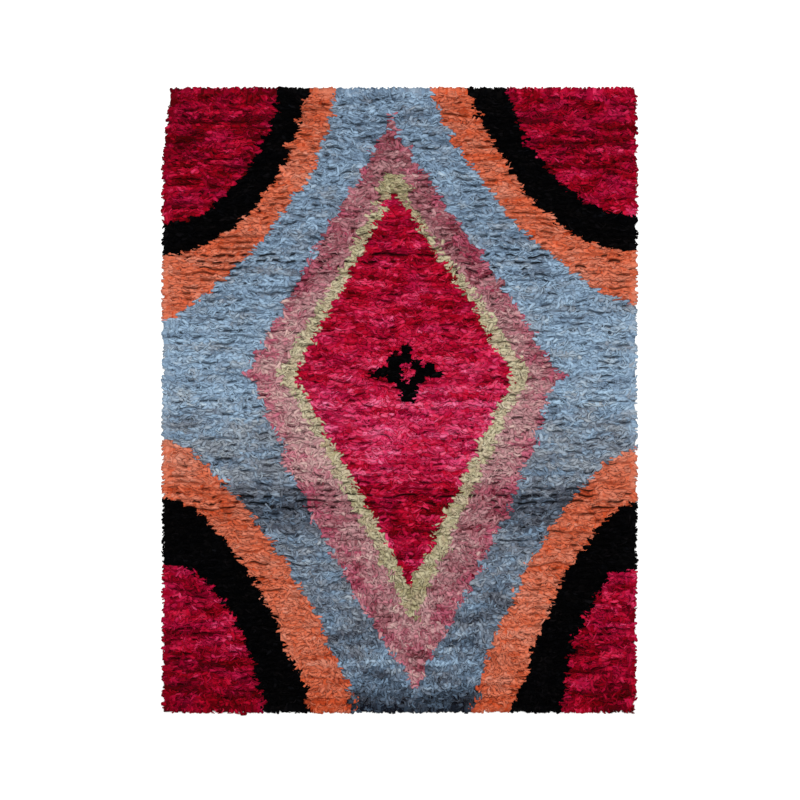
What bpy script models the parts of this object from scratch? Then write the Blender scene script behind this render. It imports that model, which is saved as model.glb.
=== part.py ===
"""A thick hand-knotted wool rug, lying flat. Metres, +Z up.

The rug is one woven piece, so it is one solid: a lumpy slab with a flat underside.
Each row of knots is a low ridge across the rug. Its pile leans towards the near end
(-Y), so the ridge is steep on that side and long on the other. A lock of wool stands
out at both ends of each row and along the two short ends of the rug.
The origin is in the middle of the rug's reach, on the underside.
"""

import bmesh
import bpy
from mathutils import Vector, noise

# The rug, from the tips of its longest locks on one side to those on the other
RUG_WIDTH = 1.500
RUG_LENGTH = 1.966

# The pile
ROW_COUNT = 98
RIDGE_HEIGHT = 0.0235
VALLEY_HEIGHT = 0.0165
RIM_HEIGHT = 0.0095
RIDGE_PLACE = 0.36  # of a row's pitch, from the row's near side
SHOULDER_WIDTH = 0.022  # where the pile rolls down to the side rims
LUMP_COLUMNS = 15
LUMP_HEIGHT = 0.0038  # broad swells of the pile
LUMP_SIZE = 0.17
TUFT_HEIGHT = 0.0024  # tufts that stand up or lie down within a row
TUFT_SIZE = 0.045
ROW_WANDER = 0.0022  # how far a row strays from a straight line
WANDER_SIZE = 0.30

# Creases across the rug, where the rows part and the pile sinks
CREASES = (
    # place along the rug, half width, depth
    {"place": -0.310, "half_width": 0.030, "depth": 0.0045},
    {"place": 0.440, "half_width": 0.034, "depth": 0.0030},
)

# The far left corner is drawn in, as the weaver's tension left it
CORNER_DRAWN_IN = 0.026
CORNER_LENGTH = 0.215
EDGE_WANDER = 0.0025

# The locks round the rim
SIDE_LOCK_REACH = 0.019
END_LOCK_REACH = 0.014
SHORTEST_LOCK = 0.35  # of the reach
LOCK_TIP = 0.38  # of the root's width and height
LOCK_LEAN = 0.0035
END_LOCKS_PER_COLUMN = 3

# Finish, from the wool that covers most of the rug
CRIMSON = (0.36, 0.012, 0.045, 1.0)
WOOL_ROUGHNESS = 0.92

BODY_WIDTH = RUG_WIDTH - 2 * SIDE_LOCK_REACH
BODY_LENGTH = RUG_LENGTH - 2 * END_LOCK_REACH
ROW_PITCH = BODY_LENGTH / ROW_COUNT


def waver(x, y, size, seed):
    """A smooth uneven value, about -1 to 1, that changes over this size."""
    return 2 * noise.noise(Vector((x / size, y / size, seed)))


def column_fractions():
    """Where the lengthwise lines of the top lie, from 0 at the left rim to 1 at the right."""
    shoulder = SHOULDER_WIDTH / BODY_WIDTH
    step = (1 - 2 * shoulder) / LUMP_COLUMNS
    inner = [shoulder + step * i for i in range(LUMP_COLUMNS + 1)]
    return [0.0, *inner, 1.0]


def row_lines():
    """The crosswise lines of the top, near end first: place along the rug, and if it is a ridge."""
    lines = []
    for row in range(ROW_COUNT):
        near = -BODY_LENGTH / 2 + row * ROW_PITCH
        lines.append((near, False))
        lines.append((near + RIDGE_PLACE * ROW_PITCH, True))
    lines.append((BODY_LENGTH / 2, False))
    return lines


def side_places(y):
    """The left and right rims at this place along the rug."""
    into_corner = max(0.0, y - (BODY_LENGTH / 2 - CORNER_LENGTH)) / CORNER_LENGTH
    left = -BODY_WIDTH / 2 + CORNER_DRAWN_IN * into_corner
    left += EDGE_WANDER * (0.5 + 0.5 * waver(0, y, WANDER_SIZE, 3))
    right = BODY_WIDTH / 2 - EDGE_WANDER * (0.5 + 0.5 * waver(1, y, WANDER_SIZE, 5))
    return left, right


def crease_depth(y):
    """How far the pile sinks at this place along the rug."""
    depth = 0.0
    for crease in CREASES:
        away = abs(y - crease["place"]) / crease["half_width"]
        depth += crease["depth"] * max(0.0, 1 - away * away)
    return depth


def pile_height(x, y, on_ridge):
    height = RIDGE_HEIGHT if on_ridge else VALLEY_HEIGHT
    height += LUMP_HEIGHT * waver(x, y, LUMP_SIZE, 7)
    height += TUFT_HEIGHT * waver(x, y, TUFT_SIZE, 8)
    return height - crease_depth(y)


def add_top(bm):
    """The pile's surface, a grid with a line of points in each valley and on each ridge."""
    columns = column_fractions()
    lines = row_lines()
    grid = bmesh.ops.create_grid(
        bm, x_segments=len(columns) - 1, y_segments=len(lines) - 1, size=0.5
    )
    points = sorted(grid["verts"], key=lambda v: (round(v.co.y, 5), round(v.co.x, 5)))
    for number, point in enumerate(points):
        line, column = divmod(number, len(columns))
        place, on_ridge = lines[line]
        left, right = side_places(place)
        x = left + (right - left) * columns[column]
        on_side = column in (0, len(columns) - 1)
        on_end = line in (0, len(lines) - 1)
        stray = 0 if on_end else ROW_WANDER * waver(x, place, WANDER_SIZE, 9)
        z = RIM_HEIGHT if on_side or on_end else pile_height(x, place, on_ridge)
        point.co = (x, place + stray, z)


def split_end_rims(bm):
    """Divides the two short rims so that each mesh column there can carry several locks."""
    ends = []
    for edge in bm.edges:
        at_end = all(abs(v.co.y) > BODY_LENGTH / 2 - ROW_PITCH / 10 for v in edge.verts)
        if at_end and edge.calc_length() > 2 * SHOULDER_WIDTH:
            ends.append(edge)
    bmesh.ops.subdivide_edges(bm, edges=ends, cuts=2 * END_LOCKS_PER_COLUMN - 1)


def close_underside(bm):
    """Drops the rim straight to the floor, fills the flat underside and returns the rim's faces."""
    rim = [edge for edge in bm.edges if edge.is_boundary]
    made = bmesh.ops.extrude_edge_only(bm, edges=rim)["geom"]
    for item in made:
        if isinstance(item, bmesh.types.BMVert):
            item.co.z = 0.0
    floor_loop = [e for e in made if isinstance(e, bmesh.types.BMEdge) and e.is_boundary]
    bmesh.ops.contextual_create(bm, geom=floor_loop)
    bmesh.ops.recalc_face_normals(bm, faces=bm.faces)
    return [item for item in made if isinstance(item, bmesh.types.BMFace)]


def lock_roots(rim_faces):
    """Every second face of each rim, so that the locks stand apart: all of a side's are on the
    long slope of a row."""
    left, right, near, far = [], [], [], []
    for face in rim_faces:
        normal = face.normal
        if abs(normal.x) > abs(normal.y):
            (right if normal.x > 0 else left).append(face)
        else:
            (far if normal.y > 0 else near).append(face)
    chosen = []
    for side in (left, right):
        side.sort(key=lambda f: f.calc_center_median().y)
        chosen += side[1::2]
    for end in (near, far):
        end.sort(key=lambda f: f.calc_center_median().x)
        chosen += end[2:-1:2]
    return chosen


def draw_out_locks(bm, roots):
    """Pulls each root face out into a tapered lock that lies on the floor."""
    for tip in bmesh.ops.extrude_discrete_faces(bm, faces=roots)["faces"]:
        outward = Vector((tip.normal.x, tip.normal.y, 0)).normalized()
        along = Vector((-outward.y, outward.x, 0))
        middle = tip.calc_center_median()
        share = 0.5 + 0.5 * max(-1, min(1, waver(middle.x, middle.y, 0.013, 11)))
        reach = SIDE_LOCK_REACH if abs(outward.x) > abs(outward.y) else END_LOCK_REACH
        reach *= SHORTEST_LOCK + (1 - SHORTEST_LOCK) * share
        lean = LOCK_LEAN * waver(middle.x, middle.y, 0.017, 13)
        for point in tip.verts:
            across = (point.co - middle).dot(along)
            height = point.co.z * LOCK_TIP
            point.co = middle + outward * reach + along * (across * LOCK_TIP + lean)
            point.co.z = height


def centre_on_origin(bm):
    """Puts the middle of the rug's reach over the origin."""
    xs = [point.co.x for point in bm.verts]
    ys = [point.co.y for point in bm.verts]
    middle = Vector((max(xs) + min(xs), max(ys) + min(ys), 0)) / 2
    bmesh.ops.translate(bm, verts=bm.verts, vec=-middle)


def wool_material():
    material = bpy.data.materials.new("wool_pile")
    material.use_nodes = True
    shader = material.node_tree.nodes["Principled BSDF"]
    shader.inputs["Base Color"].default_value = CRIMSON
    shader.inputs["Roughness"].default_value = WOOL_ROUGHNESS
    shader.inputs["Metallic"].default_value = 0.0
    material.diffuse_color = CRIMSON
    return material


def add_rug():
    bm = bmesh.new()
    add_top(bm)
    split_end_rims(bm)
    rim_faces = close_underside(bm)
    draw_out_locks(bm, lock_roots(rim_faces))
    centre_on_origin(bm)
    mesh = bpy.data.meshes.new("rug")
    bm.to_mesh(mesh)
    bm.free()
    rug = bpy.data.objects.new("rug", mesh)
    rug.data.materials.append(wool_material())
    bpy.context.scene.collection.objects.link(rug)
    return rug


def main():
    for old in list(bpy.data.objects):
        bpy.data.objects.remove(old)
    add_rug()


main()
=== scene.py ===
# %% [markdown]
# # A Berber rug
# This script dresses a hand-knotted wool rug that lies flat on a pale floor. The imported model
# holds one plain slab, the rug's real size with a ridge for each row of knots. Here the slab
# gives way to what a hand would feel: a woven ground, and thousands of separate locks of wool.

# %% The frame
import math
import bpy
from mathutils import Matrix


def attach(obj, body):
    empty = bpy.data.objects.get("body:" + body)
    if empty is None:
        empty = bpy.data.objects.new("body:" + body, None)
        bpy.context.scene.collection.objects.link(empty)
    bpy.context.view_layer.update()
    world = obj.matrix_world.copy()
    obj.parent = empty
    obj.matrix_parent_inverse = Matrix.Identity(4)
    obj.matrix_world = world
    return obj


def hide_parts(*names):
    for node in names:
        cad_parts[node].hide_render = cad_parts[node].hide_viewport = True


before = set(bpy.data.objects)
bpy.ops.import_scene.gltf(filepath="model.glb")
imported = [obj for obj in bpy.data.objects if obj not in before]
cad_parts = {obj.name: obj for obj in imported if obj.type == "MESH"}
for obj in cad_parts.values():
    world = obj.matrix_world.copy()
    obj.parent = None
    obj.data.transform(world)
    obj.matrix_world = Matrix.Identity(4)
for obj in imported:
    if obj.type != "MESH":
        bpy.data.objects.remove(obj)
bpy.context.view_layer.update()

from types import SimpleNamespace

import bmesh
import bpy
import numpy as np
from mathutils import Vector, noise

# %% [markdown]
# ## The camera
# A long lens far above the rug keeps its edges parallel. Its height follows from how many
# metres one pixel covers.

# %% The camera above the rug
PIXEL = 0.00313  # metres that one pixel covers at the pile
FRAME_PIXELS = 800
LENS = 110.0
SENSOR = 36.0
PILE_TOP = 0.02
LOOKED_AT = (0.0016, 0.0)


def add_object(name, data):
    """Puts a new object in the scene, at the origin."""
    thing = bpy.data.objects.new(name, data)
    bpy.context.scene.collection.objects.link(thing)
    return thing


camera = add_object("camera", bpy.data.cameras.new("camera"))
camera.data.lens = LENS
camera.data.sensor_width = SENSOR
distance = PIXEL * FRAME_PIXELS * LENS / SENSOR
camera.location = (*LOOKED_AT, distance + PILE_TOP)
camera.data.clip_end = 3 * distance
bpy.context.scene.camera = camera
print("the camera looks down from", round(distance, 2), "m")

# %% [markdown]
# ## How the rug is laid out
# A weaver ties a row of knots from side to side, beats a few shots of weft down on it, and
# ties the next. So a rug is a grid, but never a true one: rows wander and the pile swells and
# sinks. Most of these values are the slab's own, so the pile fills the same space. Only the
# short waves in the rows are added, and the near crease is a little deeper.

# %% Rows, columns and the pile's swells
BODY_WIDTH = 1.462
BODY_LENGTH = 1.938
ROW_COUNT = 98
KNOTS_IN_ROW = 139
ROW_PITCH = BODY_LENGTH / ROW_COUNT
KNOT_PITCH = BODY_WIDTH / KNOTS_IN_ROW

GROUND_LOW, GROUND_HEIGHT = 0.0003, 0.0045
SEAM = 0.0003  # between pieces that lie on each other
RIDGE_HEIGHT, VALLEY_HEIGHT = 0.0235, 0.0165
RIM_HEIGHT = 0.0095
RIDGE_PLACE = 0.36
SHOULDER_WIDTH = 0.022
LUMP_HEIGHT, LUMP_SIZE = 0.0038, 0.17
CORNER_DRAWN_IN, CORNER_LENGTH = 0.026, 0.215
EDGE_WANDER = 0.0025
ROW_WANDER, WANDER_SIZE = 0.0022, 0.30
ROW_WAVES = ((0.0055, 0.090), (0.0042, 0.038))  # how far it strays, and over what length
CREASES = (
    # place along the rug, half width, depth, and from 0 to 1 how far its rows stand apart
    (-0.310, 0.030, 0.0055, 1.0),
    (0.440, 0.034, 0.0030, 0.55),
)
CREASE_REACH = 2.4  # half widths over which its rows stand apart


def waver(x, y, size, seed):
    """A smooth uneven value for each point, about -1 to 1, that changes over this size."""
    x, y = np.broadcast_arrays(np.asarray(x, float) / size, np.asarray(y, float) / size)
    values = [noise.noise(Vector((a, b, seed))) for a, b in zip(x.flat, y.flat)]
    return 2 * np.array(values).reshape(x.shape)


def side_places(y):
    """The left and right rims of the woven ground at each place along the rug."""
    into_corner = np.maximum(0, y - (BODY_LENGTH / 2 - CORNER_LENGTH)) / CORNER_LENGTH
    left = -BODY_WIDTH / 2 + CORNER_DRAWN_IN * into_corner
    left = left + EDGE_WANDER * (0.5 + 0.5 * waver(0, y, WANDER_SIZE, 3))
    right = BODY_WIDTH / 2 - EDGE_WANDER * (0.5 + 0.5 * waver(1, y, WANDER_SIZE, 5))
    return left, right


def row_wander(x, y):
    """How far a row strays along the rug at each place, and nothing at the two ends."""
    held = np.clip((BODY_LENGTH / 2 - np.abs(y)) / ROW_PITCH, 0, 1)
    wander = ROW_WANDER * waver(x, y, WANDER_SIZE, 9)
    for height, length in ROW_WAVES:
        wander = wander + height * waver(x, y, length, 27)
    return held * wander


def row_number(x, y):
    """The row at each place, counted from the near end; a whole number is a line between rows."""
    return (y + BODY_LENGTH / 2 - row_wander(x, y)) / ROW_PITCH


def at_creases(y):
    """How far the pile sinks at each place along the rug, and how near it is to the middle of a
    crease, from 0 to 1 for one that opens fully."""
    depth = near = 0.0
    for place, half_width, deepest, opens in CREASES:
        away = np.abs(y - place) / half_width
        depth = depth + deepest * np.maximum(0, 1 - away * away)
        near = near + opens * np.maximum(0, 1 - away / CREASE_REACH)
    return depth, near


def pile_top(x, y):
    """The height that the tallest locks reach at each place."""
    in_row = row_number(x, y) % 1
    heights = (VALLEY_HEIGHT, RIDGE_HEIGHT, VALLEY_HEIGHT)
    height = np.interp(in_row, (0, RIDGE_PLACE, 1), heights)
    return height + LUMP_HEIGHT * waver(x, y, LUMP_SIZE, 7) - at_creases(y)[0]


print(ROW_COUNT, "rows", round(1000 * ROW_PITCH, 1), "mm apart,", KNOTS_IN_ROW, "knots in each")

# %% [markdown]
# ## The pattern
# Three diamonds lie one inside the next around a small stepped one, and bands of colour cut
# off the four corners. The weaver works by eye, so the shapes lean and swell. The rose and
# pale ones are built of overlapping diamonds, which gives them longer tips, and a small one
# swells the black band at the far left. A diamond is given by how far it reaches four ways, and
# a corner field by how far it reaches along two edges. A fullness of 1 is straight, 2 is round.

# %% Diamonds and corner fields
YARNS = ("crimson", "pale", "rose", "black", "orange", "blue")
CRIMSON, PALE, ROSE, BLACK, ORANGE, BLUE = range(6)

DIAMONDS = (
    # yarn, middle, leans of the far and the near part in metres sideways for each metre along,
    # reaches up, down, left and right in metres, upper and lower fullness
    (ROSE, (0.014, 0.082), (-0.050, -0.045), (0.850, 0.992, 0.506, 0.533), (0.70, 0.70)),
    (ROSE, (0.005, 0.103), (-0.045, -0.040), (0.761, 0.977, 0.468, 0.486), (1.02, 1.17)),
    (ROSE, (0.052, -0.868), (0.0, 0.0), (0.060, 0.038, 0.024, 0.024), (1.30, 1.10)),
    (PALE, (0.008, 0.091), (-0.050, -0.042), (0.617, 0.795, 0.387, 0.408), (0.97, 0.97)),
    (PALE, (-0.018, 0.660), (0.0, 0.0), (0.050, 0.050, 0.046, 0.048), (1.70, 1.70)),
    (PALE, (0.046, -0.618), (0.0, 0.0), (0.050, 0.050, 0.043, 0.041), (2.20, 2.20)),
    (CRIMSON, (0.009, 0.077), (-0.044, -0.031), (0.578, 0.662, 0.332, 0.354), (1.02, 0.99)),
    (BLACK, (-0.308, 0.985), (0.0, 0.0), (0.020, 0.052, 0.045, 0.040), (1.50, 1.50)),
)
ROSE_DIAMOND = DIAMONDS[1][1:]

CORNER_AT = (0.749, 0.984)
CORNER_FIELDS = (
    # yarn, side (-1 is left) and end (-1 is near) of its corner, reach across and along in
    # metres, fullness across and along
    (ORANGE, -1, 1, 0.548, 0.742, 1.14, 1.82),
    (BLACK, -1, 1, 0.458, 0.527, 2.21, 1.49),
    (CRIMSON, -1, 1, 0.372, 0.435, 2.06, 1.42),
    (ORANGE, 1, 1, 0.648, 0.690, 1.40, 1.33),
    (BLACK, 1, 1, 0.534, 0.518, 2.13, 1.18),
    (CRIMSON, 1, 1, 0.409, 0.406, 2.04, 1.42),
    (ORANGE, -1, -1, 0.609, 0.865, 1.44, 1.25),
    (BLACK, -1, -1, 0.471, 0.678, 1.79, 1.15),
    (CRIMSON, -1, -1, 0.325, 0.469, 2.24, 1.48),
    (ORANGE, 1, -1, 0.519, 0.832, 1.63, 1.25),
    (BLACK, 1, -1, 0.391, 0.667, 1.70, 1.18),
    (CRIMSON, 1, -1, 0.242, 0.457, 2.33, 1.37),
)

# The small stepped diamond in the middle, row by row from its far tip, in millimetres from
# its own middle. A gap lets the crimson show through it.
STEPS = (
    # left, right, gap
    (-20, 5, None),
    (-50, 10, None),
    (-62, 42, None),
    (-90, 84, (-20, 10)),
    (-118, 115, (-18, 20)),
    (-60, 60, (-14, 8)),
    (-36, 35, None),
    (-18, 28, None),
    (-14, 22, None),
)
STEPS_MIDDLE = (0.0235, 0.0815)


def share_of_reach(diamond, x, y):
    """From 0 in a diamond's middle to 1 on its outline."""
    middle, leans, (up, down, left, right), fullnesses = diamond
    ahead = y - middle[1]
    aside = x - middle[0] - np.where(ahead > 0, *leans) * ahead
    wide = np.where(aside > 0, right, left)
    long = np.where(ahead > 0, up, down)
    fullness = np.where(ahead > 0, *fullnesses)
    return np.abs(aside / wide) ** fullness + np.abs(ahead / long) ** fullness


def in_corner(field, x, y):
    side, end, across, along, fullness_across, fullness_along = field
    from_side = np.maximum(0, CORNER_AT[0] - side * x) / across
    from_end = np.maximum(0, CORNER_AT[1] - end * y) / along
    return from_side**fullness_across + from_end**fullness_along < 1


def in_steps(x, y):
    row = np.floor((STEPS_MIDDLE[1] - y) / ROW_PITCH + len(STEPS) / 2).astype(int)
    across = 1000 * (x - STEPS_MIDDLE[0])
    inside = np.full(x.shape, False)
    for number, (left, right, gap) in enumerate(STEPS):
        dark = (row == number) & (across > left) & (across < right)
        if gap:
            dark &= (across < gap[0]) | (across > gap[1])
        inside |= dark
    return inside


def yarn_at(x, y, stray=0.0):
    """Which yarn is knotted at each place, as its number in YARNS. All but the small diamond
    strays sideways by so many metres."""
    shown = np.full(x.shape, BLUE)
    for yarn, *field in CORNER_FIELDS:
        shown[in_corner(field, x + stray, y)] = yarn
    for yarn, *diamond in DIAMONDS:
        shown[share_of_reach(diamond, x + stray, y) < 1] = yarn
    shown[in_steps(x, y)] = BLACK
    return shown


# %% [markdown]
# ## Where the knots are
# A knot's place is its row's line, which wanders, and its share of the width there. The same
# places serve the back of the rug and the pile, so both show one pattern.

# %% The grid of knots
rows, columns = np.meshgrid(np.arange(ROW_COUNT), np.arange(KNOTS_IN_ROW), indexing="ij")


def grid_place(row, column):
    """Where a place on the grid lies on the wandering ground; both may be fractions."""
    y = -BODY_LENGTH / 2 + row * ROW_PITCH
    left, right = side_places(y)
    x = left + (right - left) * column / KNOTS_IN_ROW
    return x, y + row_wander(x, y)


knot_x, knot_y = grid_place(rows + 0.5, columns + 0.5)
print(knot_x.size, "knots")

# %% [markdown]
# ## Held in rows
# The weft grips the roots of a row of knots, so its pile tends to stay in a band of its own.
# Mostly the wool closes over the line between two rows. Here and there the line shows, and in
# the creases it opens to a ragged slit, under the tips that lean over it from the far side. A
# hyperbolic tangent draws places towards the middle of their row: it leaves the middle nearly
# as it was and presses what strays against the band's edge.

# %% A band for each row
SLIT = 0.26  # of a row's pitch, at its widest
LONG_STRETCH, DASH = 0.13, 0.030  # how long a line shows without a break
OPEN_IN_CREASES = 44.0  # shares of a row's pitch for each metre that a crease is deep
UNDER_TIPS = 0.40  # the most of a pitch that opens under the tips of the row beyond
NARROWEST_BAND = 0.15
HELD_IN_CREASES = 0.48
NOT_HELD = -9.0  # for a strand that falls over the rim
STRETCHES, DASHES = 0.45, 0.40  # the higher, the rarer they are
INTO_SLIT = 6  # the higher, the nearer a strand must be to its band's edge to sink
DOWN_MIDDLE, DOWN_REACH = (0.05, -0.76), (0.36, 0.38)
DOWN_MOST, DOWN_ENDS = 0.9, 1.3  # its largest share, and the reaches over which it ends


def down_share(x, y):
    """From 0, where the pile falls sideways, to 1, where it points down the rug."""
    away = np.hypot((x - DOWN_MIDDLE[0]) / DOWN_REACH[0], (y - DOWN_MIDDLE[1]) / DOWN_REACH[1])
    return np.clip(DOWN_ENDS - away, 0, 1) * DOWN_MOST


def slit_at(x, y, line, hold):
    """How firmly the rows beside a line are held, and how much of a pitch its slit takes."""
    depth, near = at_creases(y)
    held = hold + HELD_IN_CREASES * near
    stretch = np.clip(5 * (waver(x, 0.61 * line, LONG_STRETCH, 26.3) - STRETCHES + held), 0, 1)
    dash = np.clip(5 * (waver(x, 0.43 * line, DASH, 25.4) - DASHES + held), 0, 1)
    slit = SLIT * (0.5 + 0.5 * dash) + OPEN_IN_CREASES * depth * dash
    return np.maximum(stretch, dash) * (1 - down_share(x, y)), slit


def held_in_row(x, y, row, hold):
    """Where a place of a row's pile ends up along the rug, and how deep it lies in a slit."""
    aside = row_number(x, y) - row - 0.5
    firm, slit = slit_at(x, y, row + (aside > 0), hold)
    under = np.minimum(slit, UNDER_TIPS)
    room = np.where(aside > 0, under, slit - under)
    band = np.maximum(0.5 - room, NARROWEST_BAND)
    held = band * np.tanh(aside / band)
    return y + ROW_PITCH * firm * (held - aside), firm * room * (held / band) ** INTO_SLIT


# %% [markdown]
# ## The bed of the pile
# Shag looks soft because no gap in it goes down to the ground: near its knot the wool is
# packed tight. So a lumpy bed of wool fills the rug to a few millimetres below the locks' tops,
# in one closed mesh that sinks only at the rim and in the slits.

# %% Bed height
BED_DEPTH = 0.0070  # below the tallest locks
BED_AT_RIM = 0.0060
BED_LOWEST = 0.0055
SLIT_IN_BED = 0.040  # how far it sinks for each share of a pitch that a slit is wide


def over_edge(x, y):
    """How far each place lies past the woven ground, negative inside, at the sides and ends."""
    left, right = side_places(y)
    return np.maximum(left - x, x - right), np.abs(y) - BODY_LENGTH / 2


def rolled_down(x, y, full, at_rim):
    """A height that changes over the shoulder, from its full one to the one at the rim."""
    past = np.maximum(*over_edge(x, y))
    return full + (at_rim - full) * np.clip(1 + past / SHOULDER_WIDTH, 0, 1)


def bed_height(x, y):
    full = pile_top(x, y) - BED_DEPTH
    return np.maximum(rolled_down(x, y, full, BED_AT_RIM), BED_LOWEST)


# %% [markdown]
# ## Small tools for materials
# A small class wraps a node's output, so that `0.5 * streaks + shade` writes the Math nodes.
# Every other kind of node comes from one method, which takes its settings and inputs.

# %% A socket that does sums
class Sum:
    """One output socket of a material's nodes, with the arithmetic that this script uses."""

    def __init__(self, nodes, socket):
        self.nodes, self.socket = nodes, socket

    def math(self, operation, *values, clamp=False):
        settings = {"operation": operation, "use_clamp": clamp}
        return self.nodes.add("ShaderNodeMath", settings, dict(enumerate(values)))

    def __add__(self, other):
        return self.math("ADD", self, other)

    def __sub__(self, other):
        return self.math("SUBTRACT", self, other)

    def __rsub__(self, other):
        return self.math("SUBTRACT", other, self)

    def __mul__(self, other):
        return self.math("MULTIPLY", self, other)

    __radd__ = __add__
    __rmul__ = __mul__

    def above(self, limit):
        return self.math("GREATER_THAN", self, limit)

    def clamped(self):
        return self.math("ADD", self, 0.0, clamp=True)

    def fraction(self):
        return self.math("FRACT", self)

    def sine(self):
        return self.math("SINE", self)


class Nodes:
    """A material's nodes, each made by one call."""

    def __init__(self, name):
        self.material = bpy.data.materials.new(name)
        self.material.use_nodes = True
        self.tree = self.material.node_tree
        self.shader = self.tree.nodes["Principled BSDF"]

    def add(self, kind, settings=None, inputs=None, output=0):
        node = self.tree.nodes.new(kind)
        for name, value in (settings or {}).items():
            if name == "stops":
                self.set_stops(node.color_ramp.elements, value)
            else:
                setattr(node, name, value)
        self.fill(node, inputs or {})
        return Sum(self, node.outputs[output])

    def attribute(self, name, output=2):
        """A number that the mesh carries at each point; output 0 is a colour."""
        return self.add("ShaderNodeAttribute", {"attribute_name": name}, output=output)

    def ramp(self, stops, place):
        return self.add("ShaderNodeValToRGB", {"stops": stops}, {"Fac": place})

    def bump(self, strength, distance, height):
        inputs = {"Strength": strength, "Distance": distance, "Height": height}
        return self.add("ShaderNodeBump", {}, inputs)

    def fibres(self, place, stretch, settings, inputs):
        """Noise drawn out along the fibres."""
        ends = {0: place, 1: stretch}
        place = self.add("ShaderNodeVectorMath", {"operation": "MULTIPLY"}, ends)
        inputs = {"Vector": place, "Scale": 1.0, "Detail": 2.0, **inputs}
        return self.add("ShaderNodeTexNoise", settings, inputs)

    def mix(self, blend, factor, first, second):
        settings = {"data_type": "RGBA", "blend_type": blend}
        return self.add("ShaderNodeMix", settings, {0: factor, 6: first, 7: second}, output=2)

    def set_stops(self, elements, stops):
        while len(elements) < len(stops):
            elements.new(1.0)
        for element, (place, colour) in zip(elements, stops):
            element.position = place
            element.color = (*colour, 1.0)

    def fill(self, node, inputs):
        for name, value in inputs.items():
            if isinstance(value, Sum):
                self.tree.links.new(value.socket, node.inputs[name])
            else:
                node.inputs[name].default_value = value

    def finish(self, inputs):
        """Fills the shader's own inputs and gives back the material."""
        self.fill(self.shader, inputs)
        return self.material


def srgb(red, green, blue):
    """A colour from 0 to 255 as seen on a screen, in the linear values that shaders use."""
    shares = [value / 255 for value in (red, green, blue)]
    return tuple(s / 12.92 if s < 0.04045 else ((s + 0.055) / 1.055) ** 2.4 for s in shares)


# %% [markdown]
# ## The dyed wool
# Handspun wool takes dye unevenly, so a yarn is a run of colours. Each lock carries a number
# from 0 to 1, its shade, that says where in the run it sits. One dye pot is never quite the hue
# of the next, so each yarn has two runs, and a second number, its lot, mixes them. Fine fibres
# along the lock break its shade up and raise a bump. Near its root, and on its side towards an
# open slit, a lock is painted darker: painted shade.

# %% Six wools
WOOLS = {
    # the runs of colours of two dye lots, from dark to light in even steps
    "crimson": (((66, 0, 2), (122, 0, 16), (162, 8, 38), (192, 38, 74), (210, 86, 118)),
                ((70, 0, 12), (126, 2, 36), (164, 20, 62), (192, 58, 100), (210, 104, 140))),
    "pale": (((100, 88, 58), (136, 128, 94), (166, 158, 128), (184, 176, 148), (198, 190, 166)),
             ((104, 78, 62), (142, 114, 96), (168, 148, 126), (186, 170, 150), (200, 188, 172))),
    "rose": (((80, 34, 38), (138, 88, 94), (166, 124, 127), (184, 154, 148), (200, 178, 162)),
             ((74, 4, 20), (132, 46, 66), (164, 84, 104), (188, 124, 132), (204, 156, 158))),
    "black": (((0, 0, 1), (1, 1, 2), (2, 2, 3), (4, 4, 6), (10, 11, 14)),
              ((0, 0, 1), (3, 2, 2), (14, 11, 12))),
    "orange": (((112, 26, 6), (166, 62, 30), (190, 94, 64), (202, 116, 90), (212, 142, 118)),
               ((110, 40, 22), (160, 80, 56), (184, 112, 90), (198, 132, 112), (208, 154, 138))),
    "blue": (((10, 12, 20), (58, 72, 88), (100, 120, 141), (133, 157, 179), (151, 176, 196),
              (168, 193, 209)),
             ((12, 11, 16), (66, 69, 79), (108, 114, 124), (142, 150, 158), (162, 170, 174),
              (182, 188, 186))),
}
SHINES = {
    # how much the yarn's fuzz and its fibres shine
    "crimson": (0.01, 0.01), "pale": (0.05, 0.04), "rose": (0.05, 0.04),
    "black": (0.0, 0.02), "orange": (0.04, 0.03), "blue": (0.05, 0.04),
}
FIBRES_ROUND, FIBRES_ALONG = 12.0, 2.2
FIBRE_CONTRAST = 0.26
FIBRE_DEPTH = 0.0009
WOOL_ROUGHNESS = 0.88
ROOT_PAINTED_SHADE = 0.09  # painted shade: how far down its yarn's run a lock's root lies
ROOT_ENDS = 2.4  # parts of a lock, of which its root, painted darker, is one
SLIT_PAINTED_SHADE = 0.5  # painted shade: how far down the run its side towards a slit lies


def stops_of(run):
    """Each colour of a run with its place in it, from 0 to 1."""
    return [(number / (len(run) - 1), srgb(*colour)) for number, colour in enumerate(run)]


def wool(name, cells):
    """The wool of one yarn, for a piece whose locks lie in this many cells of its map."""
    nodes = Nodes(name + "_wool")
    shade, lot, along, deep = map(nodes.attribute, ("shade", "lot", "along", "deep"))
    place = nodes.add("ShaderNodeUVMap", {"uv_map": "OFBake"})
    stretch = (FIBRES_ROUND * cells[0], FIBRES_ALONG * cells[1], 1.0)
    fibres = nodes.fibres(place, stretch, {"noise_dimensions": "2D"}, {"Roughness": 0.6})
    # painted shade: each lock's tone is lowered towards its root
    root = 1 - (along * ROOT_ENDS).clamped()
    tone = shade + FIBRE_CONTRAST * (fibres - 0.5) - ROOT_PAINTED_SHADE * root
    # painted shade: lowered further where the lock lies deep in a slit
    tone = (tone - SLIT_PAINTED_SHADE * deep).clamped()
    fuzz, shine = SHINES[name]
    runs = [nodes.ramp(stops_of(run), tone) for run in WOOLS[name]]
    return nodes.finish({
        "Base Color": nodes.mix("MIX", lot, *runs),
        "Normal": nodes.bump(0.6, FIBRE_DEPTH, fibres),
        "Roughness": WOOL_ROUGHNESS,
        "Sheen Weight": fuzz,
        "Sheen Roughness": 0.5,
        "Specular IOR Level": shine,
    })
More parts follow.
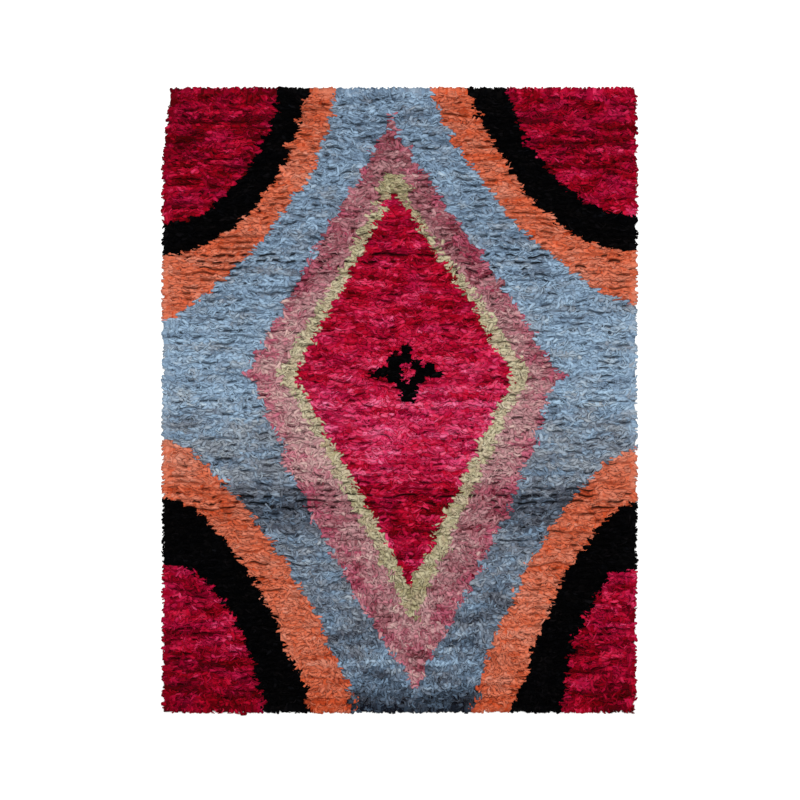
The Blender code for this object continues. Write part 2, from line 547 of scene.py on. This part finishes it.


# %% [markdown]
# ## Shades of a yarn
# Dye lots change as the weaver works, so a colour shifts in bands across the rug. Weavers call
# this abrash. Each yarn has a list of places along the rug, with how light it is there and how
# far its hue leans to its second lot. The bands also carry painted light: most yarns are painted
# lighter in the rug's middle and darker towards its two ends, a painted falloff of the light,
# and darker at the near crease, painted shade. On top come patches a few knots wide, and chance.

# %% Bands, patches and chance
BANDS = {
    # from the near end to the far end: place along the rug in centimetres, shade in hundredths,
    # lot in tenths; the shades hold abrash and painted light, darker at the ends and the near
    # crease
    "crimson": ((-98, 27, 3), (-86, 30, 3), (-68, 38, 5), (-56, 42, 6), (-42, 36, 2),
                (-35, 34, 1), (-28, 47, 3), (-22, 62, 5), (-12, 70, 6), (-2, 68, 6), (6, 60, 4),
                (16, 50, 3), (25, 50, 2), (45, 42, 2), (60, 39, 3), (68, 26, 3), (98, 26, 4)),
    "pale": ((-80, 36, 0), (-60, 44, 0), (-40, 50, 2), (5, 60, 3), (40, 52, 2), (70, 33, 1)),
    "rose": ((-95, 46, 1), (-75, 47, 2), (-60, 41, 5), (-42, 45, 4), (-33, 35, 5), (-20, 59, 3),
             (5, 54, 2), (15, 45, 3), (28, 54, 0), (40, 33, 5), (53, 32, 5), (65, 36, 2),
             (90, 32, 2)),
    "black": ((-98, 45, 5), (98, 45, 5)),
    "orange": ((-98, 36, 1), (-85, 46, 2), (-68, 56, 3), (-42, 48, 2), (-30, 49, 2),
               (-10, 58, 7), (40, 52, 3), (60, 47, 3), (98, 42, 4)),
    "blue": ((-98, 13, 1), (-93, 18, 1), (-90, 35, 2), (-82, 43, 3), (-74, 33, 5), (-68, 38, 6),
             (-60, 46, 6), (-42, 41, 6), (-37, 28, 6), (-31, 26, 7), (-28, 40, 6), (-25, 46, 7),
             (-18, 49, 8), (-8, 53, 5), (2, 60, 1), (20, 58, 1), (50, 48, 1), (70, 49, 0),
             (98, 46, 0)),
}
SPREADS = {
    # how strongly a yarn's shade changes in patches along its rows, by chance, and from the
    # left side of the rug to the right; and its lot in patches and by chance
    "crimson": (0.20, 0.10, 0.03, 0.6, 0.20),
    "pale": (0.06, 0.07, 0.0, 0.3, 0.20),
    "rose": (0.10, 0.09, -0.10, 0.5, 0.25),
    "black": (0.10, 0.20, 0.0, 0.3, 0.20),
    "orange": (0.08, 0.07, 0.0, 0.5, 0.15),
    "blue": (0.07, 0.05, 0.0, 0.5, 0.20),
}
# share of the patches' strength, times longer along a row than across, length in metres, seed
PATCHES = ((1.0, 5, 0.12, 31), (0.6, 2.5, 0.035, 32))
LOT_PATCH = (3, 0.09)
RASPBERRY_OUTWARDS = 4.0  # how much the rose's lot rises from its inner edge outwards
PATCHY_WHERE_DOWN = 1.2  # how much stronger patches are where the pile points down the rug
BED_PAINTED_SHADE = 0.12  # painted shade: how far down its yarn's run the packed wool and knot backs lie
UNTRUE, UNTRUE_OVER = 0.0095, 0.10  # metres that a row's colours stray, and over what length
ROW_SHADE, ROW_STEP = 0.025, 0.0040  # how much a row's shade and its colours' start vary
rng = np.random.default_rng(98)
row_shade = rng.normal(0, ROW_SHADE, ROW_COUNT)
row_step = rng.normal(0, ROW_STEP, ROW_COUNT)


def row_stray(x, row):
    """How far left or right a row's colours start: each row is tied by eye, on its own."""
    return row_step[row] + UNTRUE * waver(x, 1.37 * UNTRUE_OVER * (row + 0.4), UNTRUE_OVER, 51)


def shade_of(yarn_name, x, y, row):
    places, shades, lots = np.array(BANDS[yarn_name]).T / ((100,), (100,), (10,))
    patchy, chance, rightward, lot_patchy, lot_chance = SPREADS[yarn_name]
    shade = np.interp(y, places, shades) + row_shade[row] + rightward * x
    patchy = patchy * (1 + PATCHY_WHERE_DOWN * down_share(x, y))
    for share, flatness, size, seed in PATCHES:
        shade = shade + share * patchy * waver(x, flatness * y, size, seed)
    shade = shade + rng.normal(0, chance, x.size)
    lot = np.interp(y, places, lots) + lot_patchy * waver(x, LOT_PATCH[0] * y, LOT_PATCH[1], 33)
    lot = lot + rng.normal(0, lot_chance, x.size)
    if yarn_name == "rose":
        lot = lot + RASPBERRY_OUTWARDS * (share_of_reach(ROSE_DIAMOND, x, y) - 0.9)
    return np.clip(shade, 0, 1), np.clip(lot, 0, 1)


def dye_and_shade_of(yarn, x, y, row):
    """The colour of each knot's wool, as its shade and lot give it, set a little darker as
    painted shade.
    """
    dye = np.zeros((*x.shape, 3))
    for number, name in enumerate(YARNS):
        mine = yarn == number
        shade, lot = shade_of(name, x[mine], y[mine], row[mine])
        mixed = 0
        for run, share in zip(WOOLS[name], (1 - lot, lot)):
            places, colours = zip(*stops_of(run))
            # painted shade: each knot's colour is taken lower down its run than its shade
            channels = [np.interp(shade - BED_PAINTED_SHADE, places, c) for c in np.array(colours).T]
            mixed = mixed + share * np.array(channels)
        dye[mine] = mixed.T
    return dye


# %% [markdown]
# ## One strand
# A strand is modelled once, as an upright tube with a pointed tip. It is then bent, flattened
# and set down thousands of times. There are three kinds: a lock, which is a whole end of yarn,
# a ply that has parted from its lock, and a loose wisp.

# %% Three kinds of strand
STRANDS = {
    # width, run and scatter in metres, top as a share of the pile's height
    "lock": {
        "sides": 4, "rings": (0.0, 0.28, 0.60, 0.93), "per_knot": 1.0, "at_rim": 1,
        "width": (0.0095, 0.0135), "run": (0.017, 0.032), "top": (0.84, 1.0), "scatter": 0.0025,
    },
    "ply": {
        "sides": 3, "rings": (0.0, 0.30, 0.64, 0.92), "per_knot": 1.3, "at_rim": 1,
        "width": (0.0050, 0.0080), "run": (0.016, 0.034), "top": (0.86, 1.05), "scatter": 0.0034,
    },
    "wisp": {
        "sides": 3, "rings": (0.0, 0.4, 0.8), "per_knot": 0.3, "at_rim": 0,
        "width": (0.0014, 0.0024), "run": (0.014, 0.034), "top": (0.88, 1.14), "scatter": 0.0060,
    },
}


def upright_strand(sides, rings):
    """Points and triangles of a straight strand, from 0 to 1 along it in z."""
    bm = bmesh.new()
    bmesh.ops.create_circle(bm, cap_ends=True, segments=sides, radius=1.0)
    rim = list(bm.edges)
    for low, high in zip(rings, (*rings[1:], 1.0)):
        made = bmesh.ops.extrude_edge_only(bm, edges=rim)["geom"]
        points = [item for item in made if isinstance(item, bmesh.types.BMVert)]
        bmesh.ops.translate(bm, verts=points, vec=(0, 0, high - low))
        fresh = set(points)
        rim = [e for e in made if isinstance(e, bmesh.types.BMEdge) and set(e.verts) <= fresh]
    bmesh.ops.pointmerge(bm, verts=points, merge_co=(0, 0, 1))
    bmesh.ops.recalc_face_normals(bm, faces=bm.faces)
    bmesh.ops.triangulate(bm, faces=bm.faces)
    bm.verts.index_update()
    points = np.array([tuple(v.co) for v in bm.verts])
    faces = np.array([[v.index for v in face.verts] for face in bm.faces])
    bm.free()
    return points, faces


def round_and_along(points, faces):
    """Where each triangle's corners lie on the strand's unrolled surface, as shares of the way
    round and along. The base is tucked in below the wall."""
    angle = np.arctan2(points[:, 1], points[:, 0]) / (2 * math.pi)
    corner = points[faces]
    middle = corner.mean(1)
    middle_angle = np.arctan2(middle[:, 1], middle[:, 0]) / (2 * math.pi)
    turn = angle[faces] - middle_angle[:, None]
    turn = turn - np.round(turn)
    at_tip = np.hypot(corner[:, :, 0], corner[:, :, 1]) < 0.01
    turn[at_tip] = 0
    wall = np.stack([middle_angle[:, None] % 1 + turn, 0.1 + 0.9 * corner[:, :, 2]], 2)
    base = np.stack([0.5 + 0.3 * corner[:, :, 0], 0.05 + 0.03 * corner[:, :, 1]], 2)
    is_base = corner[:, :, 2].max(1) < 0.001
    wall[is_base] = base[is_base]
    return wall


for kind, strand in STRANDS.items():
    strand["points"], strand["faces"] = upright_strand(strand["sides"], strand["rings"])
    strand["unrolled"] = round_and_along(strand["points"], strand["faces"])
    print("a", kind, "has", len(strand["faces"]), "triangles")

# %% [markdown]
# ## How the pile lies
# Pile has a nap: it lies over towards the end where the weaver began. Here it also falls
# sideways along its row, now left and now right, and at the diamonds' near end it points down
# the rug. A lock takes its colour from where its middle shows, so the pattern stays true
# however the locks fall.

# %% Strand by strand
LEGS_APART = 0.21  # of a row's pitch: the two ends of a knot lie side by side
LOOSE, LOOSE_AT_RIM = 1.2, 2.4  # times that, at most, for loose strands
TUFT_WIDTH = 0.3  # of a knot's pitch
TEMPERS = {
    # how many degrees a yarn's locks stray from their neighbours, how much they curl for each
    # metre of their run, and how much more or less than usual their rows are held
    "crimson": (26.0, 0.12, -0.16),
    "pale": (36.0, 0.18, -0.25),
    "rose": (36.0, 0.18, -0.16),
    "black": (22.0, 0.10, 0.0),
    "orange": (16.0, 0.09, 0.05),
    "blue": (30.0, 0.16, -0.10),
}
RUBBED_UP = ((-0.60, 1.3), (-0.15, 1.1), (0.30, 0.9))  # place along the rug, and more straying
MOST_ONE_WAY = 0.25  # how far above a half the share of locks that fall one way can go
NAP = 4.0  # degrees from the row's line towards the near end
SWIRL, SWIRL_SIZE = 1.2, 0.07  # neighbours lean alike, as a share of their straying
SWEEP, SWEEP_SIZE = 5.0, 0.45  # degrees by which whole parts of the rug lean alike
DOWN_TURN = (68.0, 24.0)  # degrees where the pile points down the rug, and their spread
DROOP, SLUMP = (0.1, 0.42), (0.0, 0.003)
SEEN_AT = 0.62  # of a strand's run
SHORT_NEAR_STEPS, STEPS_REACH = 0.80, 0.15

beside_rim = (columns < 2) | (columns >= KNOTS_IN_ROW - 2)
rim_knots = np.flatnonzero(beside_rim | (rows == 0) | (rows == ROW_COUNT - 1))


def between(limits, count):
    return limits[0] + (limits[1] - limits[0]) * rng.random(count)


def lay_strands(kind):
    """Every strand of this kind, as named columns of values."""
    sizes = STRANDS[kind]
    wanted = sizes["per_knot"]
    every, some = np.arange(knot_x.size), rng.random(knot_x.size) < wanted % 1
    picked = np.concatenate([np.tile(every, int(wanted)), every[some]])
    inner = picked.size
    picked = np.concatenate([picked, np.repeat(rim_knots, sizes["at_rim"])])
    count = picked.size
    row, column = rows.ravel()[picked], columns.ravel()[picked]
    leg = np.where((column + row) % 2 > 0, 1, -1)
    if kind != "lock":
        leg = rng.uniform(-LOOSE, LOOSE, count)
    far_leg = rng.uniform(-LOOSE_AT_RIM, LOOSE_AT_RIM, count)
    leg = np.where(np.arange(count) < inner, leg, far_leg)
    x = knot_x.ravel()[picked] + rng.normal(0, TUFT_WIDTH * KNOT_PITCH, count)
    y = knot_y.ravel()[picked] + leg * LEGS_APART * ROW_PITCH
    y = y + rng.normal(0, sizes["scatter"], count)
    yarn = yarn_at(x, y)
    rubbed = np.interp(y, *np.array(RUBBED_UP).T)
    stray, curl, hold = np.array([TEMPERS[name] for name in YARNS])[yarn].T
    down = down_share(x, y)
    share_right = 0.5 + MOST_ONE_WAY * np.clip(1.5 * waver(x, y, 0.12, 21), -1, 1)
    side = np.where(rng.random(count) < share_right, 1.0, -1.0)
    swirl = rng.normal(0, 1, count) + SWIRL * waver(x, y, SWIRL_SIZE, 23)
    tilt = NAP + rubbed * stray * swirl - side * SWEEP * waver(x, y, SWEEP_SIZE, 24)
    tilt = np.radians(tilt + down * rng.normal(*DOWN_TURN, count))
    near_steps = np.hypot(x - STEPS_MIDDLE[0], y - STEPS_MIDDLE[1]) < STEPS_REACH
    short = np.where(near_steps, SHORT_NEAR_STEPS, 1)
    run = between(sizes["run"], count) * short * (1 - 0.2 * down)
    return SimpleNamespace(
        row=row, x=x, y=y, run=run, hold=hold,
        heading=np.stack([side * np.cos(tilt), -np.sin(tilt)], 1),
        width=between(sizes["width"], count),
        top=between(sizes["top"], count),
        droop=between(DROOP, count),
        curl=(rubbed * curl + 0.06 * down) * rng.normal(0, 1, count) * run,
        slump=between(SLUMP, count),
        turn=between((0, 2 * math.pi), count),
    )


def seen_middle(strands):
    """Where the middle of each strand shows from above."""
    reach = SEEN_AT * strands.run[:, None] * strands.heading
    x = strands.x + reach[:, 0]
    y = strands.y + reach[:, 1] - 0.7 * strands.slump
    return x, held_in_row(x, y, strands.row, strands.hold)[0]


# %% [markdown]
# ## At the rim
# Nothing holds up the pile of the outermost knots, so most of it falls outwards and hangs down
# to the floor. A strand there spends some of its length on the way down, so it reaches out less
# far. Its tip gives the rug its ragged outline.

# %% Keeping strands on the rug
SIDE_REACH, END_REACH = 0.0205, 0.0155
SHORTEST_REACH = 0.74
RIM_ZONE = 0.045
OUTWARD_SHARE = 0.9  # at the very rim; none are turned at the zone's inner side
SHORTEST_RUN = 0.008
FREE_ZONE = 0.012  # strands this near to a side rim aren't held in their row
HANGING = 0.95  # the droop of a strand past the rim, as a share of its height
LEAST_ACROSS = 0.2  # of a heading


def turn_outwards(strands):
    """Points most strands near a rim across it."""
    past_side, past_end = over_edge(strands.x, strands.y)
    heading, count = strands.heading, len(strands.x)
    chance = rng.random(count) / OUTWARD_SHARE
    at_side = chance < 1 + past_side / RIM_ZONE
    heading[at_side, 0] = np.copysign(heading[at_side, 0], strands.x[at_side])
    at_end = chance < 1 + past_end / RIM_ZONE
    angle = np.radians(rng.normal(0, 35, count))
    straight_out = np.stack([np.sin(angle), np.copysign(np.cos(angle), strands.y)], 1)
    heading[at_end] = straight_out[at_end]
    strands.hold[at_end | (past_side > -FREE_ZONE)] = NOT_HELD


def keep_on_rug(strands):
    """Turns strands outwards at the rim, and lets the ones that reach too far hang down."""
    turn_outwards(strands)
    heading, run = strands.heading, strands.run
    tip_x = strands.x + run * heading[:, 0]
    tip_y = strands.y + run * heading[:, 1] - strands.slump
    reach = between((SHORTEST_REACH, 1.0), len(run))
    past_side, past_end = over_edge(tip_x, tip_y)
    across = np.abs(heading).clip(LEAST_ACROSS)
    too_far_aside = np.maximum(0, past_side - SIDE_REACH * reach) / across[:, 0]
    too_far_ahead = np.maximum(0, past_end - END_REACH * reach) / across[:, 1]
    too_far = np.maximum(too_far_aside, too_far_ahead)
    strands.run = np.maximum(run - too_far, SHORTEST_RUN)
    strands.droop[(past_side > 0) | (past_end > 0)] = HANGING
    return strands


# %% [markdown]
# ## Bending the strands
# A strand leaves its knot upright, bends over the knots beside it and droops to its tip: a
# curve with a flattened tube around it. All strands of a kind are bent in one sum over arrays,
# because tens of thousands of separate objects would be far too slow.

# %% From a straight strand to the pile
PEAK = 0.42  # how far along a strand it is at its highest
OUTWARD_CURVE = 1.35  # above 1, so a strand rises before it goes out
HALF_STEP = 0.02  # of its length, to find which way a strand points
TWIST, UNEVEN = 1.2, 0.2
FLATNESS = 0.58
ROOT_IN_BED = 0.0015
LOWEST, LOWEST_CROWN = 0.0004, 0.005
SLIT_DEPTH = 0.9  # of its height, for each share of a pitch that a slit is wide


def curve_point(strands, root_z, top_z, s):
    """The middle of each strand at these shares of its way."""
    heading = strands.heading
    out = strands.run[:, None] * s**OUTWARD_CURVE
    aside = strands.curl[:, None] * np.sin(math.pi * s)
    x = strands.x[:, None] + heading[:, :1] * out - heading[:, 1:] * aside
    y = strands.y[:, None] + heading[:, 1:] * out + heading[:, :1] * aside
    y = y - strands.slump[:, None] * np.sin(math.pi / 2 * s)
    rising = 1 - (1 - np.minimum(s / PEAK, 1)) ** 2
    falling = strands.droop[:, None] * (np.maximum(s - PEAK, 0) / (1 - PEAK)) ** 2
    z = root_z[:, None] + (top_z - root_z)[:, None] * rising - top_z[:, None] * falling
    return np.stack([x, y, z], 2)


def thickness(s):
    """A strand's girth along its way, as a share of its width: narrow where the knot grips it."""
    return 0.72 + 0.38 * np.sin(math.pi * np.minimum(s, 0.9) / 0.9)


def crown_height(strands):
    """How high the middle of each strand's crown lies, lower where it falls over the rim."""
    x, y = seen_middle(strands)
    full = rolled_down(x, y, pile_top(x, y), RIM_HEIGHT)
    crown = full * strands.top - FLATNESS * strands.width / 2
    return np.maximum(crown, LOWEST_CROWN)


def bend_strands(kind, strands):
    """The points of every strand, as (strand, point, xyz), and how deep in a slit each lies."""
    shape = STRANDS[kind]["points"]
    s = shape[:, 2][None, :]
    root_z = bed_height(strands.x, strands.y) - ROOT_IN_BED
    top_z = crown_height(strands)
    middle = curve_point(strands, root_z, top_z, s)
    before = curve_point(strands, root_z, top_z, np.maximum(s - HALF_STEP, 0))
    step = curve_point(strands, root_z, top_z, s + HALF_STEP) - before
    step /= np.linalg.norm(step, axis=2, keepdims=True)
    flat = np.cross(step, (0.0, 0.0, 1.0))
    flat += 1e-5 * strands.heading[:, None, [1]] * np.array((1.0, 0.0, 0.0))
    flat /= np.linalg.norm(flat, axis=2, keepdims=True)
    proud = np.cross(flat, step)
    girth = thickness(s)[:, :, None] * strands.width[:, None, None] / 2
    girth = girth * (1 + UNEVEN * rng.normal(0, 1, (len(top_z), len(shape), 1)).clip(-2, 2))
    around = np.arctan2(shape[:, 1], shape[:, 0])[None, :] + strands.turn[:, None] + TWIST * s
    is_wall = (np.hypot(shape[:, 0], shape[:, 1]) > 0.01)[None, :, None]
    across = np.cos(around)[:, :, None] * flat + FLATNESS * np.sin(around)[:, :, None] * proud
    points = middle + is_wall * girth * across
    place = points[:, :, 0], points[:, :, 1]
    y, depth = held_in_row(*place, strands.row[:, None], strands.hold[:, None])
    z = np.maximum(points[:, :, 2] * (1 - SLIT_DEPTH * depth), LOWEST)
    return np.stack([place[0], y, z], 2), np.minimum(depth / SLIT, 1)


# %% [markdown]
# ## Joining strands into pieces
# Each yarn becomes one piece, or two where there is a lot of it. Every strand gets a cell of
# its own in the piece's map, with its girth across the cell and its length up it. The fibres
# in the material follow that map.

# %% Building a piece of pile
CELL_SHAPE = 2.2  # how many times taller than wide
CELL_MARGIN = 0.08


def dress(mesh, material):
    """Makes a piece of this mesh, which rides on the rug's body and stands for its slab."""
    mesh.materials.append(material)
    piece = add_object(mesh.name, mesh)
    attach(piece, "root")
    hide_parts("rug")
    print(piece.name, "has", len(mesh.polygons), "faces")
    return piece


def pile_piece(name, groups, yarn_name):
    """One mesh from groups of (kind, points, deep, shade, lot), each with its strand shape."""
    total = sum(len(group[1]) for group in groups)
    cells_up = math.ceil(math.sqrt(total / CELL_SHAPE))
    cells_across = math.ceil(total / cells_up)
    coordinates, triangles, maps, carried = [], [], [], []
    offset, cell = 0, 0
    for kind, points, deep, shade, lot in groups:
        strand = STRANDS[kind]
        count, corners = points.shape[:2]
        starts = offset + corners * np.arange(count)
        coordinates.append(points.reshape(-1, 3))
        triangles.append((strand["faces"][None] + starts[:, None, None]).reshape(-1, 3))
        number = cell + np.arange(count)
        low = np.stack([number % cells_across, number // cells_across], 1)
        in_cell = CELL_MARGIN + (1 - 2 * CELL_MARGIN) * strand["unrolled"][None]
        place = low[:, None, None] + in_cell
        maps.append((place / (cells_across, cells_up)).reshape(-1, 2))
        along = np.tile(strand["points"][:, 2], count)
        carried.append((np.repeat(shade, corners), np.repeat(lot, corners), along, deep.ravel()))
        offset += count * corners
        cell += count
    triangles = np.concatenate(triangles)
    mesh = bpy.data.meshes.new(name)
    mesh.vertices.add(offset)
    mesh.vertices.foreach_set("co", np.concatenate(coordinates).ravel())
    mesh.loops.add(triangles.size)
    mesh.loops.foreach_set("vertex_index", triangles.ravel())
    mesh.polygons.add(len(triangles))
    mesh.polygons.foreach_set("loop_start", 3 * np.arange(len(triangles)))
    mesh.update(calc_edges=True)
    mesh.uv_layers.new(name="OFBake").data.foreach_set("uv", np.concatenate(maps).ravel())
    for label, values in zip(("shade", "lot", "along", "deep"), zip(*carried)):
        attribute = mesh.attributes.new(label, "FLOAT", "POINT")
        attribute.data.foreach_set("value", np.concatenate(values))
    mesh.shade_smooth()
    print(total, "strands")
    return dress(mesh, wool(yarn_name, (cells_across, cells_up)))


# %% The whole pile
def in_middle(x, y):
    return np.hypot(x, y - 0.03) < 0.66


def in_far_half(x, y):
    return y > 0.05


PIECES = (
    # name, yarn, where its strands are if not everywhere, and if they are there or elsewhere
    ("pile_crimson_diamond", CRIMSON, in_middle, True),
    ("pile_crimson_corners", CRIMSON, in_middle, False),
    ("pile_pale", PALE, None, None),
    ("pile_rose", ROSE, None, None),
    ("pile_black", BLACK, None, None),
    ("pile_orange", ORANGE, None, None),
    ("pile_blue_far", BLUE, in_far_half, True),
    ("pile_blue_near", BLUE, in_far_half, False),
)
laid = []
for kind in STRANDS:
    strands = keep_on_rug(lay_strands(kind))
    points, deep = bend_strands(kind, strands)
    x, y = seen_middle(strands)
    yarn = yarn_at(x, y, row_stray(x, strands.row))
    laid.append((kind, points, deep, x, y, strands.row, yarn))

for piece_name, piece_yarn, where, there in PIECES:
    name = YARNS[piece_yarn]
    groups = []
    for kind, points, deep, x, y, row, yarn in laid:
        mine = yarn == piece_yarn
        if where:
            mine &= where(x, y) == there
        dyed = shade_of(name, x[mine], y[mine], row[mine])
        groups.append((kind, points[mine], deep[mine], *dyed))
    pile_piece(piece_name, groups, name)

# %% [markdown]
# ## The woven ground
# Under the pile is a plain weave of undyed wool, with the knots tied round its warps. From
# below each knot shows as two small bumps, with several shots of weft between two rows. The
# underside is a grid with a cell for each knot. Its map counts rows and knots, so the weave in
# the material follows the real rows.

# %% The ground's shape
def knot_grid(cells_in_row, place_of, surface_of, other_side):
    """A closed slab with this many cells along the rug for each row of knots. One side carries
    the knots' dyes, with their painted shade, and surface_of gives its heights and how deep in a
    slit it lies. The other side is level and never seen, so a single face does for it."""
    bm = bmesh.new()
    weave = bm.loops.layers.uv.new("Weave")
    dye = bm.loops.layers.float_color.new("dye")
    deep = bm.verts.layers.float.new("deep")
    made = bmesh.ops.create_grid(
        bm, x_segments=KNOTS_IN_ROW, y_segments=cells_in_row * ROW_COUNT, size=0.5
    )
    points = sorted(made["verts"], key=lambda v: (round(v.co.y, 5), round(v.co.x, 5)))
    line, column = np.divmod(np.arange(len(points)), KNOTS_IN_ROW + 1)
    row = line / cells_in_row
    x, y = place_of(row, column)
    z, depth = surface_of(x, y, row)
    spot = {}
    for number, point in enumerate(points):
        spot[point] = (column[number], row[number])
        point.co = (x[number], y[number], z[number])
        point[deep] = depth[number]
    for face in bm.faces:
        knot = [min(spot[p][i] for p in face.verts) for i in range(2)]
        colour = knot_dye_and_shade[int(knot[1]), int(knot[0])]
        for loop in face.loops:
            loop[weave].uv = spot[loop.vert]
            loop[dye] = (*colour, 1.0)
    close_slab(bm, other_side)
    return bm


def close_slab(bm, other_side):
    """Draws the grid's rim straight down or up to this height and fills it with one face."""
    rim = [edge for edge in bm.edges if edge.is_boundary]
    made = bmesh.ops.extrude_edge_only(bm, edges=rim)["geom"]
    for item in made:
        if isinstance(item, bmesh.types.BMVert):
            item.co.z = other_side
    loop = [e for e in made if isinstance(e, bmesh.types.BMEdge) and e.is_boundary]
    bmesh.ops.contextual_create(bm, geom=loop)
    bmesh.ops.recalc_face_normals(bm, faces=bm.faces)


def mesh_of(name, bm):
    mesh = bpy.data.meshes.new(name)
    bm.to_mesh(mesh)
    bm.free()
    return mesh


knot_yarn = yarn_at(knot_x, knot_y, row_stray(knot_x, rows))
knot_dye_and_shade = dye_and_shade_of(knot_yarn, knot_x, knot_y, rows)

# %% [markdown]
# ## The ground's weave
# The middle third of each cell is the knot's two bumps, in the yarn's colour with the bed's
# painted shade. The rest is weft: rows of oat-coloured wool that pass over one warp and under the
# next, painted darker where they sink: painted shade.

# %% Weave material
UNDYED = srgb(176, 160, 130)
# painted shade: the weft's colour where the weave sinks
UNDYED_IN_PAINTED_SHADE = srgb(122, 106, 82)
KNOT_FROM, KNOT_TO = 0.35, 0.72  # of a row's pitch
WARPS, SHOTS = 2, 7  # to a knot, and to a row
WEAVE_DEPTH = 0.0015


def weave_material():
    nodes = Nodes("ground_weave")
    place = nodes.add("ShaderNodeUVMap", {"uv_map": "Weave"})
    column = nodes.add("ShaderNodeSeparateXYZ", {}, {0: place}, output=0)
    row = nodes.add("ShaderNodeSeparateXYZ", {}, {0: place}, output=1)
    dye = nodes.attribute("dye", output=0)
    in_row = row.fraction()
    is_knot = in_row.above(KNOT_FROM) * (1 - in_row.above(KNOT_TO))
    warp = (column * (2 * WARPS) * math.pi).sine()
    over = (row * (2 * SHOTS) * math.pi).sine() * warp
    # painted shade: the weft is painted darker where the weave sinks
    weft = nodes.ramp([(0.0, UNDYED_IN_PAINTED_SHADE), (1.0, UNDYED)], 0.5 + 0.35 * over)
    height = 0.5 + 0.3 * over + 0.4 * is_knot
    return nodes.finish({
        "Base Color": nodes.mix("MIX", is_knot, weft, dye),
        "Normal": nodes.bump(0.8, WEAVE_DEPTH, height),
        "Roughness": 0.92,
        "Specular IOR Level": 0.1,
    })


def ground_surface(x, y, row):
    return np.full(x.shape, GROUND_LOW), np.zeros(x.shape)


grid = knot_grid(1, grid_place, ground_surface, GROUND_HEIGHT)
ground = dress(mesh_of("woven_ground", grid), weave_material())

# %% [markdown]
# ## The packed wool
# The bed is seen only in chinks between locks, so it needs little: each knot's colour, painted
# a little darker as shade, and short fibres along the rows that break it up and raise a bump.
# Where it sinks into a slit it is painted darker still: painted shade.

# %% The bed's wool
FIBRE_LENGTH, FIBRE_GIRTH = 0.012, 0.003
BED_FIBRE_DEPTH = 0.002
LINE_DRAWN_NEAR = 0.12  # share of a row's pitch by which the lines between rows lie nearer
DEEPEST = 1.3  # painted shade: slits wider than the usual darken more of the rows beside them
RIM_TUFTS, RIM_TUFT_SIZE = 0.0085, 0.010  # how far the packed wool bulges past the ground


def bed_material():
    nodes = Nodes("bed_wool")
    dye = nodes.attribute("dye", output=0)
    place = nodes.add("ShaderNodeTexCoord", output=3)
    stretch = (1 / FIBRE_LENGTH, 1 / FIBRE_GIRTH, 1 / FIBRE_GIRTH)
    fibres = nodes.fibres(place, stretch, {}, {"Distortion": 0.6})
    deep = nodes.attribute("deep")
    # fibre streaks, times painted shade where the bed lies deep in a slit
    light = (0.55 + 0.9 * fibres) * (0.1 + (1.0 - deep * deep * deep).clamped())
    return nodes.finish({
        "Base Color": nodes.mix("MULTIPLY", 1.0, dye, light),
        "Normal": nodes.bump(0.8, BED_FIBRE_DEPTH, fibres),
        "Roughness": 0.92,
        "Specular IOR Level": 0.04,
    })


def bed_place(row, column):
    """The grid's places for the bed, drawn near between rows and bulging past the rims."""
    between_rows = (row % 1 == 0) & (row > 0) & (row < ROW_COUNT)
    x, y = grid_place(row - LINE_DRAWN_NEAR * between_rows, column)
    tuft = RIM_TUFTS * (1 + 0.7 * waver(x, y, RIM_TUFT_SIZE, 41).clip(-1, 1))
    x = x + tuft * (np.equal(column, KNOTS_IN_ROW) - 1.0 * np.equal(column, 0))
    y = y + tuft * (np.equal(row, ROW_COUNT) - 1.0 * np.equal(row, 0))
    return x, y


def bed_surface(x, y, row):
    """The bed's heights, sunk where the line between two rows opens, and how deep it lies."""
    firm, slit = slit_at(x, y, np.round(row), 0)
    slit = firm * slit * (row % 1 < 0.1)
    low = np.maximum(bed_height(x, y) - SLIT_IN_BED * slit, BED_LOWEST)
    return low, np.minimum(slit / SLIT, DEEPEST)


grid = knot_grid(2, bed_place, bed_surface, GROUND_HEIGHT + SEAM)
bed = dress(mesh_of("pile_bed", grid), bed_material())
bed.data.shade_smooth()

# %% [markdown]
# ## Floor and light
# A pale floor and soft light show the wool's own colours. The main light is broad and comes
# from the rug's far end, low enough to cast each row's shadow on the next.

# %% Floor, lamps and sky
FLOOR_SIZE = 14.0
bm = bmesh.new()
bmesh.ops.create_grid(bm, x_segments=1, y_segments=1, size=FLOOR_SIZE / 2)
floor = add_object("floor", mesh_of("floor", bm))
pale = {"Base Color": (0.86, 0.86, 0.85, 1.0), "Roughness": 0.9}
floor.data.materials.append(Nodes("floor").finish(pale))

LAMPS = (
    # name, place, width in metres, watts
    ("window", (0.4, 1.7, 3.8), 2.6, 125.0),
    ("fill", (-0.6, -1.0, 4.6), 4.0, 80.0),
)
for name, place, size, watts in LAMPS:
    light = bpy.data.lights.new(name, "AREA")
    light.size = size
    light.energy = watts
    holder = add_object(name, light)
    holder.location = place
    holder.rotation_euler = (-Vector(place)).to_track_quat("-Z", "Y").to_euler()

sky = bpy.data.worlds.new("sky")
bpy.context.scene.world = sky
sky.use_nodes = True
background = sky.node_tree.nodes["Background"].inputs
background["Color"].default_value = (1.0, 1.0, 1.0, 1.0)
background["Strength"].default_value = 0.75
bpy.context.scene.view_settings.view_transform = "Standard"
